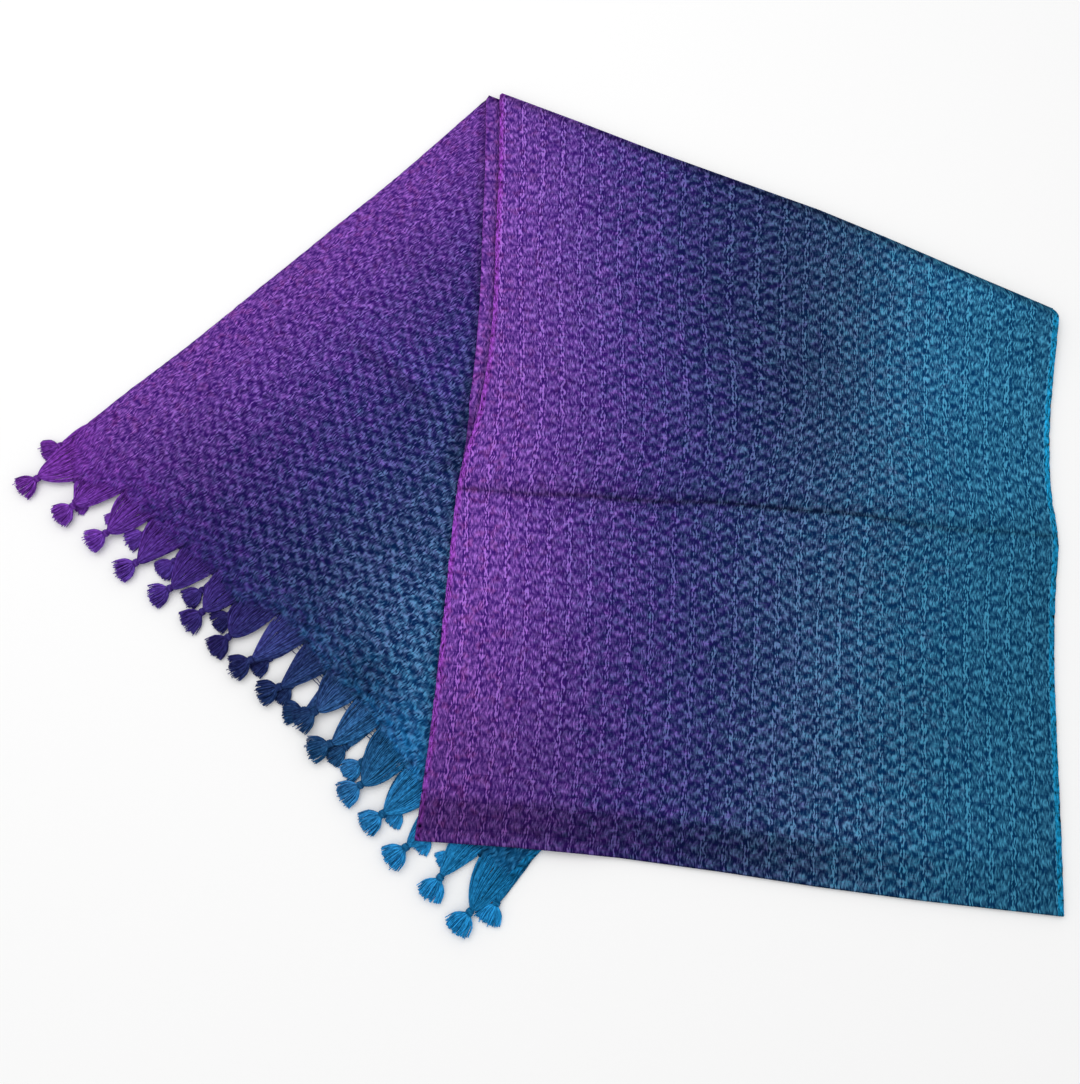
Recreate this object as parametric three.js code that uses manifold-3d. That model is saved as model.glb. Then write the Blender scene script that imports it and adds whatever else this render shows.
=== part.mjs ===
// A handwoven scarf with knotted tassels, lying flat on a surface.
// It is folded end to end, so that both fringes lie on each other, and then folded over once more
// on a slanting line, so that the doubled cloth makes a leg and a panel that lies on it.
// Units are millimetres. +Z is up, the panel's long side runs along Y and its closed end faces -Y.
import * as THREE from "three";
import Module from "manifold-3d";

// Cloth
const clothThickness = 1.5;
const pieceGap = 0.3;
const layerPitch = clothThickness + pieceGap;
const edgeBulge = 0.5;

// Where the hidden layers begin: this far in from the panel's purple edge, and past a line up the leg
const underlap = 22;
const fringeCover = { x: -60, y: -140, slope: 0.762 };
const coverGap = 2;

// The slanting top fold, where the outer layer wraps round the inner one
const outerFoldRadius = (4 * layerPitch - pieceGap) / 2;
const outerFoldReturn = 10;
const innerFoldSetback = 8.7;
const innerFoldLip = 3;
const foldNose = 0.5;

// The closed bottom end, where the outer layer turns back under itself
const endFoldRadius = (2 * layerPitch - pieceGap) / 2;
const endFoldLip = 3;

// Soft form of the panel: slack cloth, pressed down along one crosswise crease
const slackLift = 1.3;
const slackMargin = 30;
const creaseHalfWidth = 9;
const crease = { purpleX: -61, purpleY: 46, tealX: 428, tealY: 7 };

// How the panel comes down from the leg's two layers to the floor, and how far the hidden layers sag there
const stepWidth = 48;
const stepMargin = 8;
const stepSag = 1.2;
const foldShelf = { near: 13, far: 60 };

// Grid sizes
const panelColumns = 14;
const panelRows = 22;
const legRows = 9;
const coreColumns = 14;
const coreRows = 12;
const coreStart = 26;
const coreInset = 1;
const coreEndGap = 2.4;
const foldEndInset = 5;
const stripColumns = 3;
const stripRows = 18;
const stepOffset = 0.05;

// Tassels
const neckWidth = 5.5;
const neckAlong = -5;
const strandRoot = 1.7;
const strandTip = 1.3;
const strandStart = 1.5;
const strandFit = 0.45;
const strandHeight = 0.42;
const raisedReach = 0.9;
const strandCount = 5;
const strandFan = 1.05;

// Panel, front layer: a row for each section from the top fold to the bottom end, its purple and teal edge
const panelSections = [
  { purpleX: -38, purpleY: 441, tealX: 456, tealY: 209 },
  { purpleX: -38, purpleY: 367, tealX: 445, tealY: 154 },
  { purpleX: -40, purpleY: 283, tealX: 435, tealY: 95 },
  { purpleX: -42, purpleY: 203, tealX: 430, tealY: 45 },
  { purpleX: -51, purpleY: 126, tealX: 430, tealY: 0 },
  { purpleX: -67, purpleY: 61, tealX: 421, tealY: -50 },
  { purpleX: -73, purpleY: 5, tealX: 413, tealY: -105 },
  { purpleX: -79, purpleY: -75, tealX: 407, tealY: -168 },
  { purpleX: -87, purpleY: -165, tealX: 401, tealY: -235 },
  { purpleX: -96, purpleY: -242, tealX: 395, tealY: -294 },
];

// Panel, inner layer: how far its purple edge stands out beyond the front layer's, a row for each height
const stripSections = [
  { frontY: 441, standsOut: 14 },
  { frontY: 367, standsOut: 13.5 },
  { frontY: 283, standsOut: 13 },
  { frontY: 203, standsOut: 13 },
  { frontY: 126, standsOut: 10 },
  { frontY: 90, standsOut: 3 },
  { frontY: 61, standsOut: -1 },
  { frontY: -242, standsOut: -1 },
];

// Leg: the ends of the roots of the tassels along the fringe, from the purple corner to the teal corner
const fringeNotches = [
  { x: -401, y: 90 },
  { x: -394, y: 52 },
  { x: -353, y: 42 },
  { x: -328, y: 17 },
  { x: -299, y: -7 },
  { x: -270, y: -29 },
  { x: -252, y: -55 },
  { x: -215, y: -64 },
  { x: -192, y: -88 },
  { x: -174, y: -113 },
  { x: -149, y: -134 },
  { x: -130, y: -156 },
  { x: -107, y: -187 },
  { x: -85, y: -211 },
  { x: -65, y: -233 },
  { x: -47, y: -255 },
  { x: -22, y: -275 },
];
const legAngle = THREE.MathUtils.degToRad(44.4);
const legEdgeBow = 7;
const lowerFringeSetback = 20;
const lowerEdgeShift = 1.5;

// Front row of tassels: knot and middle of the brush, a row for each tassel
const frontTassels = [
  { knotX: -424, knotY: 55, brushX: -431, brushY: 50 },
  { knotX: -390, knotY: 30, brushX: -399, brushY: 23, pose: "over" },
  { knotX: -360, knotY: 6, brushX: -370, brushY: 0, pose: "over" },
  { knotX: -333, knotY: -19, brushX: -342, brushY: -24 },
  { knotX: -303, knotY: -41, brushX: -312, brushY: -46 },
  { knotX: -275, knotY: -61, brushX: -283, brushY: -67 },
  { knotX: -252, knotY: -82, brushX: -259, brushY: -88 },
  { knotX: -232, knotY: -101, brushX: -244, brushY: -107, pose: "over" },
  { knotX: -208, knotY: -123, brushX: -220, brushY: -127, pose: "over" },
  { knotX: -178, knotY: -143, brushX: -189, brushY: -150, pose: "over" },
  { knotX: -165, knotY: -168, brushX: -176, brushY: -172, pose: "over" },
  { knotX: -140, knotY: -200, brushX: -148, brushY: -205 },
  { knotX: -122, knotY: -222, brushX: -131, brushY: -228, pose: "tucked" },
  { knotX: -103, knotY: -247, brushX: -111, brushY: -253, pose: "tucked" },
  { knotX: -76, knotY: -270, brushX: -82, brushY: -279, pose: "tucked" },
  { knotX: -53, knotY: -296, brushX: -60, brushY: -304, pose: "tucked" },
];

// Back row of tassels, on the lower layer's fringe, with the second and third out of sight
const backTassels = [
  { knotX: -409, knotY: 86, brushX: -417, brushY: 83 },
  { knotX: -379, knotY: 38, brushX: -386, brushY: 32, pose: "pressed" },
  { knotX: -351, knotY: 25, brushX: -358, brushY: 18, pose: "pressed" },
  { knotX: -329, knotY: 7, brushX: -339, brushY: 2 },
  { knotX: -302, knotY: -17, brushX: -309, brushY: -23 },
  { knotX: -277, knotY: -42, brushX: -286, brushY: -48 },
  { knotX: -252, knotY: -62, brushX: -261, brushY: -68 },
  { knotX: -218, knotY: -99, brushX: -227, brushY: -105 },
  { knotX: -199, knotY: -121, brushX: -207, brushY: -128 },
  { knotX: -188, knotY: -141, brushX: -198, brushY: -142 },
  { knotX: -153, knotY: -170, brushX: -162, brushY: -176 },
  { knotX: -140, knotY: -182, brushX: -149, brushY: -188 },
  { knotX: -107, knotY: -219, brushX: -114, brushY: -226, pose: "pressed" },
  { knotX: -84, knotY: -239, brushX: -92, brushY: -246, pose: "pressed" },
  { knotX: -66, knotY: -252, brushX: -74, brushY: -258, pose: "pressed" },
  { knotX: -33, knotY: -290, brushX: -38, brushY: -299 },
];

// A tassel's body from the cloth to the knot: share of the way, share of the root's width, thickness
const bodySections = [
  { along: 0, width: 0.94, thickness: 1.3 },
  { along: 0.14, width: 0.84, thickness: 1.3 },
  { along: 0.4, width: 0.6, thickness: 1.6 },
  { along: 0.7, width: 0.36, thickness: 2.4 },
];

// A tassel's knot: distance along the tassel from the knot's middle, width, and share of the full height
const knotSections = [
  { along: -2.5, width: 9, height: 1 },
  { along: 2, width: 9, height: 1 },
  { along: 4.5, width: 6, height: 0.64 },
];

// How the laid cloth departs from straight lines: how far the top fold bows out and how far the leg's
// purple edge bulges out, by the share of the way along each, and how far the bottom end bends up by X
const topFoldBow = [
  { along: 0, out: 2.6 },
  { along: 0.15, out: 5 },
  { along: 0.3, out: 5.8 },
  { along: 0.45, out: 8.8 },
  { along: 0.58, out: 11.5 },
  { along: 0.7, out: 10.4 },
  { along: 0.85, out: 7.4 },
  { along: 1, out: 5 },
];
const legEdgeBulge = [
  { along: 0, out: 0 },
  { along: 0.05, out: 3.5 },
  { along: 0.25, out: 3.4 },
  { along: 0.42, out: 5.6 },
  { along: 0.6, out: 5.4 },
  { along: 0.75, out: 3 },
  { along: 1, out: 1.5 },
];
const bottomBend = [
  { x: -90, up: 0 },
  { x: -20, up: 2.8 },
  { x: 60, up: 3.8 },
  { x: 140, up: 1.6 },
  { x: 210, up: -1.6 },
  { x: 290, up: -3.5 },
  { x: 400, up: -3.8 },
];
const bendFade = { topFold: 150, legEdge: 100, bottomEnd: 110 };

// The dye, from the purple selvedge to the teal one
const dyeStops = [
  { across: 0, colour: 0x7c3fa8 },
  { across: 0.25, colour: 0x55408c },
  { across: 0.5, colour: 0x31376a },
  { across: 0.75, colour: 0x2c5780 },
  { across: 1, colour: 0x2280ad },
];

const wasm = await Module();
wasm.setup();

const point = (x, y, z = 0) => new THREE.Vector3(x, y, z);
const mix = THREE.MathUtils.lerp;
const smooth = THREE.MathUtils.smoothstep;
const between = (a, b, share) => a.clone().lerp(b, share);

function dye(across) {
  const next = Math.max(1, dyeStops.findIndex((stop) => stop.across >= across));
  const [low, high] = [dyeStops[next - 1], dyeStops[next]];
  const share = (across - low.across) / (high.across - low.across);
  return new THREE.Color(low.colour).lerp(new THREE.Color(high.colour), share);
}

// Lines of the folds. Each has a start, an end and the direction that points out of the cloth.
function foldLine(start, end) {
  const along = end.clone().sub(start).normalize();
  return { start, end, out: point(-along.y, along.x) };
}
const firstSection = panelSections[0];
const lastSection = panelSections[panelSections.length - 1];
const topFold = foldLine(
  point(firstSection.purpleX, firstSection.purpleY),
  point(firstSection.tealX, firstSection.tealY),
);
const bottomFold = foldLine(
  point(lastSection.tealX, lastSection.tealY),
  point(lastSection.purpleX, lastSection.purpleY),
);
const insideOf = (line, p) => line.start.clone().sub(p).dot(line.out);

// The panel's two edges, as smooth curves through the sections
const purpleEdge = new THREE.CatmullRomCurve3(panelSections.map((s) => point(s.purpleX, s.purpleY)));
const tealEdge = new THREE.CatmullRomCurve3(panelSections.map((s) => point(s.tealX, s.tealY)));

// Reads a table whose heights run downwards: the wanted column at a height, between its rows
function tableAt(rows, heightColumn, height, wanted) {
  const below = rows.findIndex((row) => row[heightColumn] <= height);
  if (below < 0) return rows[rows.length - 1][wanted];
  const [high, low] = [rows[Math.max(0, below - 1)], rows[below]];
  const span = high[heightColumn] - low[heightColumn];
  return span === 0 ? low[wanted] : mix(low[wanted], high[wanted], (height - low[heightColumn]) / span);
}
const purpleEdgeX = (y) => tableAt(panelSections, "purpleY", y, "purpleX");
const tealEdgeX = (y) => tableAt(panelSections, "tealY", y, "tealX");

// X at which the hidden layers begin, at a given Y
function hiddenEdgeX(y) {
  const besidePanelEdge = purpleEdgeX(y) + underlap;
  const besideFringe = fringeCover.x + (fringeCover.y - y) * fringeCover.slope;
  return Math.max(besidePanelEdge, besideFringe);
}

// The leg's run and its teal edge, which passes under the panel up to the end of the top fold
const legRun = point(Math.cos(legAngle), Math.sin(legAngle));
const legOut = point(legRun.y, -legRun.x);
const fringeEnd = fringeNotches[fringeNotches.length - 1];
const legTealEdge = foldLine(point(topFold.end.x, topFold.end.y), point(fringeEnd.x, fringeEnd.y));

// Reads a table between its rows, which run upwards in the given column
function rowAt(rows, column, value, wanted) {
  const above = rows.findIndex((row) => row[column] >= value);
  if (above < 0) return rows[rows.length - 1][wanted];
  if (above === 0) return rows[0][wanted];
  const [low, high] = [rows[above - 1], rows[above]];
  return mix(low[wanted], high[wanted], (value - low[column]) / (high[column] - low[column]));
}

// Bends the straight lines of the plan to those of the laid cloth, and leaves the heights as they are
const legCorner = point(fringeNotches[0].x, fringeNotches[0].y);
const legLength = topFold.start.clone().sub(legCorner).dot(legRun);
function settle(p) {
  const plan = point(p.x, p.y);
  const alongTop = plan.clone().sub(topFold.start).dot(topFold.end.clone().sub(topFold.start));
  const topShare = alongTop / topFold.start.distanceToSquared(topFold.end);
  const topFade = 1 - smooth(insideOf(topFold, plan), 0, bendFade.topFold);
  const fromCorner = plan.clone().sub(legCorner);
  const legFade = 1 - smooth(fromCorner.dot(legOut), 0, bendFade.legEdge);
  const legShare = fromCorner.dot(legRun) / legLength;
  const endFade = 1 - smooth(insideOf(bottomFold, plan), 0, bendFade.bottomEnd);
  return p.clone()
    .addScaledVector(topFold.out, rowAt(topFoldBow, "along", topShare, "out") * topFade)
    .addScaledVector(legOut, -rowAt(legEdgeBulge, "along", legShare, "out") * legFade)
    .add(point(0, rowAt(bottomBend, "x", plan.x, "up") * endFade));
}

// Share of the leg's two layers that the panel lies on: whole over the leg and along the top fold
function stackShare(p) {
  const besideLeg = smooth(insideOf(legTealEdge, p), -stepWidth - stepMargin, -stepMargin);
  const besideFold = 1 - smooth(insideOf(topFold, p), foldShelf.near, foldShelf.far);
  return Math.max(besideLeg, besideFold);
}

// Underside of the panel's inner layer, which lies on the leg's two layers and on the floor beyond them
const innerLayerBottom = (p) => 2 * layerPitch * stackShare(p);

// How far slack cloth stands off what it lies on, least at the margins and along the crease
function slack(p) {
  const creaseRun = point(crease.tealX - crease.purpleX, crease.tealY - crease.purpleY).normalize();
  const fromCrease = p.clone().sub(point(crease.purpleX, crease.purpleY)).cross(creaseRun).z;
  const off = 1 - Math.exp(-((fromCrease / creaseHalfWidth) ** 2));
  const fromPurple = p.x - purpleEdgeX(p.y);
  const fromTeal = tealEdgeX(p.y) - p.x;
  const margins = [fromPurple, fromTeal, insideOf(topFold, p), insideOf(bottomFold, p)];
  const fade = smooth(Math.min(...margins), 0, slackMargin);
  return slackLift * off * fade;
}

// Joins rings of equal length into one closed body. A ring's points run over its upper side and back
// under its lower side, so that each point but the first and the middle one has a partner below it.
function loft(rings) {
  const count = rings[0].length;
  const middle = count / 2;
  const positions = rings.flat().flatMap((p) => [p.x, p.y, p.z]);
  const faces = [];
  const quad = (a, b, c, d) => faces.push(a, b, c, a, c, d);
  for (let ring = 0; ring < rings.length - 1; ring += 1) {
    for (let i = 0; i < count; i += 1) {
      const j = (i + 1) % count;
      const [here, there] = [ring * count, (ring + 1) * count];
      quad(here + i, there + i, there + j, here + j);
    }
  }
  const cap = (base, flip) => {
    const tri = (a, b, c) => faces.push(base + a, base + (flip ? c : b), base + (flip ? b : c));
    tri(0, 1, count - 1);
    for (let i = 1; i < middle - 1; i += 1) {
      tri(i, i + 1, count - i);
      tri(i + 1, count - i - 1, count - i);
    }
    tri(middle - 1, middle, middle + 1);
  };
  cap(0, false);
  cap((rings.length - 1) * count, true);
  const body = solid(positions, faces);
  return body.volume() < 0 ? solid(positions, faces.toReversed()) : body;
}

function solid(positions, faces) {
  return new wasm.Manifold(
    new wasm.Mesh({
      numProp: 3,
      vertProperties: new Float32Array(positions),
      triVerts: new Uint32Array(faces),
    }),
  );
}

function meshOf(body, name, colour) {
  const { vertProperties, triVerts } = body.warp((vertex) => {
    const settled = settle(point(...vertex));
    vertex[0] = settled.x;
    vertex[1] = settled.y;
  }).getMesh();
  const geometry = new THREE.BufferGeometry();
  geometry.setAttribute("position", new THREE.BufferAttribute(vertProperties, 3));
  geometry.setIndex(new THREE.BufferAttribute(triVerts, 1));
  geometry.computeVertexNormals();
  const material = new THREE.MeshStandardMaterial({ color: colour, roughness: 0.85, metalness: 0 });
  const mesh = new THREE.Mesh(geometry, material);
  mesh.name = name;
  return mesh;
}

// A ring across a wall: upper and lower points, closed by a rounded edge at each side
function wallRing(upper, lower) {
  const last = upper.length - 1;
  const rounded = (edge, neighbour) => {
    const middle = between(upper[edge], lower[edge], 0.5);
    const away = upper[edge].clone().sub(upper[neighbour]).setZ(0).normalize();
    return middle.addScaledVector(away, edgeBulge);
  };
  return [rounded(0, 1), ...upper, rounded(last, last - 1), ...lower.toReversed()];
}

// A ring across the panel at a share of the way down, moved out by a distance along a direction.
// heights(p) gives the top and the bottom of the wall over a point of the plan.
function panelRing(from, to, columns, heights) {
  const upper = [];
  const lower = [];
  for (let column = 0; column <= columns; column += 1) {
    const p = between(from, to, column / columns);
    const { top, bottom, outward = point(0, 0), inward = point(0, 0) } = heights(p);
    upper.push(p.clone().add(outward).setZ(top));
    lower.push(p.clone().add(inward).setZ(bottom));
  }
  return wallRing(upper, lower);
}

// Front layer of the panel, with the wrap of the top fold and the lip of the bottom end
function frontPanel() {
  const rings = [];
  const flat = (p) => {
    const bottom = innerLayerBottom(p) + layerPitch + slack(p);
    return { top: bottom + clothThickness, bottom };
  };
  const topCentre = (p) => p.clone().addScaledVector(topFold.out, -outerFoldRadius);
  const [foldStart, foldEnd] = [topCentre(topFold.start), topCentre(topFold.end)];
  const returnStart = foldStart.clone().addScaledVector(topFold.out, outerFoldRadius - outerFoldReturn);
  const returnEnd = foldEnd.clone().addScaledVector(topFold.out, outerFoldRadius - outerFoldReturn);
  rings.push(panelRing(returnStart, returnEnd, panelColumns, () => ({ top: 0, bottom: clothThickness })));
  for (const degrees of [180, 140, 110, 80, 45, 15]) {
    const angle = THREE.MathUtils.degToRad(degrees);
    const arc = (radius) => ({
      out: topFold.out.clone().multiplyScalar(radius * Math.sin(angle)),
      z: outerFoldRadius + radius * Math.cos(angle),
    });
    const outside = arc(outerFoldRadius);
    const inside = arc(outerFoldRadius - clothThickness);
    const turn = { top: outside.z, bottom: inside.z, outward: outside.out, inward: inside.out };
    rings.push(panelRing(foldStart, foldEnd, panelColumns, () => turn));
  }
  const reach = purpleEdge.getLength();
  for (let row = 0; row <= panelRows; row += 1) {
    const share = mix(outerFoldRadius / reach, 1 - (endFoldLip + edgeBulge) / reach, row / panelRows);
    rings.push(panelRing(purpleEdge.getPoint(share), tealEdge.getPoint(share), panelColumns, flat));
  }
  const inward = (p, distance) => p.clone().addScaledVector(bottomFold.out, -distance);
  const lipRing = (distance, up, down) => {
    const [from, to] = [inward(bottomFold.end, distance), inward(bottomFold.start, distance)];
    rings.push(panelRing(from, to, panelColumns, (p) => {
      const centre = innerLayerBottom(p) + endFoldRadius;
      return { top: centre + up, bottom: centre - down };
    }));
  };
  lipRing(endFoldLip, endFoldRadius, pieceGap / 2 - endFoldRadius + clothThickness);
  lipRing(endFoldLip - 0.05, endFoldRadius, endFoldRadius);
  lipRing(endFoldRadius, endFoldRadius, endFoldRadius);
  lipRing(endFoldRadius * 0.3, endFoldRadius * 0.7, endFoldRadius * 0.7);
  lipRing(0, endFoldRadius * 0.25, endFoldRadius * 0.25);
  return loft(rings);
}

// Inner layer of the panel where it stands out beside the front layer, with the lip of the inner fold
function innerPanelEdge() {
  const rings = [];
  const foldSlope = -topFold.out.x / topFold.out.y;
  const endSlope = -bottomFold.out.x / bottomFold.out.y;
  const foldY = firstSection.purpleY - innerFoldSetback / topFold.out.y;
  const endY = lastSection.purpleY + (endFoldLip + 2 * pieceGap) / -bottomFold.out.y;
  const stripRing = (y, up, down) => {
    const slope = mix(endSlope, foldSlope, smooth(y, endY, foldY));
    const standsOut = tableAt(stripSections, "frontY", y, "standsOut");
    const from = point(purpleEdgeX(y) - standsOut, y + standsOut * -slope);
    const far = hiddenEdgeX(y) - coverGap;
    const drop = (far - purpleEdgeX(y)) * slope;
    const to = point(hiddenEdgeX(y + drop) - coverGap, y + drop);
    rings.push(panelRing(from, to, stripColumns, (p) => {
      const bottom = innerLayerBottom(p);
      return { top: bottom + up, bottom: bottom + down };
    }));
  };
  const base = -layerPitch;
  const middle = (clothThickness + base) / 2;
  stripRing(foldY, middle + foldNose, middle - foldNose);
  stripRing(foldY - 2 * foldNose, middle + 2 * foldNose, middle - 2 * foldNose);
  stripRing(foldY - 4 * foldNose, clothThickness, base);
  stripRing(foldY - innerFoldLip, clothThickness, base);
  for (let row = 0; row <= stripRows; row += 1) {
    stripRing(mix(foldY - innerFoldLip - stepOffset, endY, row / stripRows), clothThickness, 0);
  }
  return loft(rings);
}

// Where a thread of the leg that starts at a point of the fringe passes out of sight, or meets the top fold
function legInnerEnd(start, foldDistance) {
  const toFold = (insideOf(topFold, start) - foldDistance) / legRun.dot(topFold.out);
  let far = 0;
  const at = (distance) => start.clone().addScaledVector(legRun, distance);
  while (far < toFold && at(far).x < hiddenEdgeX(at(far).y) - coverGap) far += 0.25;
  return at(Math.min(far, toFold));
}

// One layer of the leg, a ring for each end of a tassel's root, running from the fringe up the leg
function legLayer(bottom, fringeSetback, edgeShift, foldDistance) {
  const notches = fringeNotches.map((n) => point(n.x, n.y).addScaledVector(legRun, fringeSetback));
  const rings = notches.map((notch, index) => {
    const across = index / (notches.length - 1);
    const end = legInnerEnd(notch, foldDistance);
    const upper = [];
    const lower = [];
    for (let row = 0; row <= legRows; row += 1) {
      const share = row / legRows;
      const shift = edgeShift * smooth(share, 0, 1 / legRows);
      const bow = (legEdgeBow * Math.sin(Math.PI * share) - shift) * (1 - across) ** 3;
      const p = between(notch, end, share).addScaledVector(legOut, bow);
      upper.push(p.clone().setZ(bottom + clothThickness));
      lower.push(p.clone().setZ(bottom));
    }
    return wallRing(upper, lower);
  });
  return loft(rings);
}

// The hidden layers, as one rounded solid: the panel's inner layer and the leg's two layers below it
function hiddenLayers() {
  const rings = [];
  const foldRun = topFold.end.clone().sub(topFold.start).normalize();
  const lip = (distance, top, bottom) => {
    const inward = topFold.out.clone().multiplyScalar(-distance);
    const aside = underlap + coverGap + distance * topFold.out.x;
    const from = topFold.start.clone().add(inward).addScaledVector(foldRun, aside / foldRun.x);
    const to = topFold.end.clone().add(inward).addScaledVector(foldRun, -foldEndInset);
    rings.push(panelRing(from, to, coreColumns, () => ({ top, bottom })));
  };
  const stackTop = 2 * layerPitch + clothThickness;
  const middle = (stackTop + layerPitch) / 2;
  const returnEnd = outerFoldReturn + edgeBulge + pieceGap;
  lip(innerFoldSetback, middle + foldNose, middle - foldNose);
  lip(innerFoldSetback + 2 * foldNose, stackTop, layerPitch);
  lip(returnEnd, stackTop, layerPitch);
  lip(returnEnd + stepOffset, stackTop, 0);
  const reach = purpleEdge.getLength();
  for (let row = 0; row <= coreRows; row += 1) {
    const share = mix(coreStart / reach, 1 - (endFoldLip + coreEndGap) / reach, row / coreRows);
    const to = tealEdge.getPoint(share).add(point(-coreInset, 0));
    const from = purpleEdge.getPoint(share);
    const slope = (to.y - from.y) / (to.x - from.x);
    const meet = (x) => hiddenEdgeX(from.y + (x - from.x) * slope);
    const startX = [1, 2, 3, 4, 5, 6].reduce(meet, hiddenEdgeX(from.y)) + coverGap;
    const start = point(startX, from.y + (startX - from.x) * slope);
    rings.push(panelRing(start, to, coreColumns, (p) => {
      const sag = stepSag * 4 * stackShare(p) * (1 - stackShare(p));
      return { top: innerLayerBottom(p) + clothThickness - sag, bottom: 0 };
    }));
  }
  return loft(rings);
}

// A ring of eight points round a flattened section from one side to the other
function flatRing(left, right, low, high) {
  const middle = (low + high) / 2;
  const shoulder = 0.8;
  const at = (share, z) => between(left, right, share).setZ(z);
  const near = (z) => mix(middle, z, shoulder);
  const upperSide = [at(1 - shoulder, near(high)), at(0.5, high), at(shoulder, near(high))];
  const lowerSide = [at(shoulder, near(low)), at(0.5, low), at(1 - shoulder, near(low))];
  return [at(0, middle), ...upperSide, at(1, middle), ...lowerSide];
}

// A three-sided strand from the knot to its tip, which stays just above the floor
function strand(root, tip, rootRadius, tipRadius) {
  const axis = tip.clone().sub(root).setZ(0).normalize();
  const side = point(-axis.y, axis.x);
  const section = (centre, radius) => [
    centre.clone().addScaledVector(side, radius).setZ(centre.z - radius * 0.5),
    centre.clone().setZ(centre.z + radius),
    centre.clone().addScaledVector(side, -radius).setZ(centre.z - radius * 0.5),
  ];
  const corners = [...section(root, rootRadius), ...section(tip, tipRadius)];
  const positions = corners.flatMap((p) => [p.x, p.y, p.z]);
  const faces = [0, 1, 2, 5, 4, 3];
  for (let i = 0; i < 3; i += 1) {
    const j = (i + 1) % 3;
    faces.push(i, i + 3, j + 3, i, j + 3, j);
  }
  const body = solid(positions, faces);
  return body.volume() < 0 ? solid(positions, faces.toReversed()) : body;
}

// A tassel: the warp of its root drawn together into a knot, and a brush of strands beyond the knot.
// levels gives the height of the body's underside at the root and further on, whether the body stays
// thin, the lowest and highest point of the knot, and the height and length of the brush.
function tassel(leftRoot, rightRoot, row, levels) {
  const knot = point(row.knotX, row.knotY);
  const run = point(row.brushX, row.brushY).sub(knot).normalize();
  const rootMiddle = between(leftRoot, rightRoot, 0.5);
  const rootHalf = rightRoot.clone().sub(leftRoot).multiplyScalar(0.5);
  const offCloth = point(-rootHalf.y, rootHalf.x).normalize().multiplyScalar(edgeBulge + pieceGap);
  if (offCloth.dot(knot.clone().sub(rootMiddle)) < 0) offCloth.negate();
  const start = rootMiddle.clone().add(offCloth);
  const across = point(-run.y, run.x);
  if (across.dot(rootHalf) < 0) across.negate();
  const thicknessOf = (section) => (levels.thin ? bodySections[0].thickness : section.thickness);
  const rings = bodySections.map((section) => {
    const centre = between(start, knot, section.along);
    const straight = across.clone().multiplyScalar(rootHalf.length());
    const half = between(rootHalf, straight, section.along).multiplyScalar(section.width);
    const low = section.along === 0 ? levels.root : levels.middle;
    return flatRing(centre.clone().sub(half), centre.clone().add(half), low, low + thicknessOf(section));
  });
  const { knotLow, knotHigh } = levels;
  const knotRing = (along, width, low, high) => {
    const centre = knot.clone().addScaledVector(run, along);
    const half = across.clone().multiplyScalar(width / 2);
    rings.push(flatRing(centre.clone().sub(half), centre.clone().add(half), low, high));
  };
  const neckThickness = thicknessOf(bodySections[bodySections.length - 1]);
  knotRing(neckAlong, neckWidth, levels.middle, levels.middle + neckThickness);
  for (const { along, width, height } of knotSections) {
    const spare = (knotHigh - knotLow) * (1 - height) / 2;
    knotRing(along, width, knotLow + spare, knotHigh - spare);
  }
  let body = loft(rings);
  const rootRadius = Math.min(strandRoot, strandFit * (knotHigh - knotLow));
  const tipRadius = Math.min(strandTip, strandFit * (levels.brushHigh - levels.brushLow));
  const from = knot.clone().addScaledVector(run, strandStart).setZ(mix(knotLow, knotHigh, strandHeight));
  for (let i = 0; i < strandCount; i += 1) {
    const angle = mix(-strandFan / 2, strandFan / 2, i / (strandCount - 1));
    const aim = run.clone().applyAxisAngle(point(0, 0, 1), angle);
    const raised = i % 2 === 1;
    const reach = levels.brushLength * (raised ? raisedReach : 1);
    const height = raised ? levels.brushHigh - tipRadius : levels.brushLow + tipRadius / 2;
    const tip = from.clone().addScaledVector(aim, reach).setZ(height);
    body = body.add(strand(from, tip, rootRadius, tipRadius));
  }
  return body;
}

const scarf = new THREE.Group();
const add = (body, name, colour) => scarf.add(meshOf(body, name, colour));

add(frontPanel(), "panel_front", dye(0.45));
add(innerPanelEdge(), "panel_inner_edge", dye(0));
add(legLayer(layerPitch, 0, 0, innerFoldSetback + innerFoldLip + 1), "leg_upper", dye(0.4));
add(legLayer(0, lowerFringeSetback, lowerEdgeShift, outerFoldReturn + 1.6), "leg_lower", dye(0.35));
add(hiddenLayers(), "hidden_layers", dye(0.5));

// Heights of the tassels by how each lies. On the upper fringe: free, over a tassel of the lower row, or
// tucked under the panel's corner. On the lower fringe: free, or pressed flat under what lies on it.
const frontLevels = {
  root: layerPitch, middle: 4.2, thin: false,
  knotLow: 1, knotHigh: 7.6,
  brushLow: 0.3, brushHigh: 5, brushLength: 19,
};
const backLevels = {
  root: 0.1, middle: 0.1, thin: true,
  knotLow: 0.3, knotHigh: 3.4,
  brushLow: 0.3, brushHigh: 2.9, brushLength: 14,
};
const tasselLevels = {
  front: frontLevels,
  over: { ...frontLevels, knotLow: 3.6, knotHigh: 8.8, brushLow: 3.1, brushHigh: 6 },
  tucked: { ...frontLevels, middle: 1.9, thin: true, knotLow: 1.9, brushLow: 2 },
  back: backLevels,
  pressed: { ...backLevels, knotHigh: 1.7, brushHigh: 1.7 },
};

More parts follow.
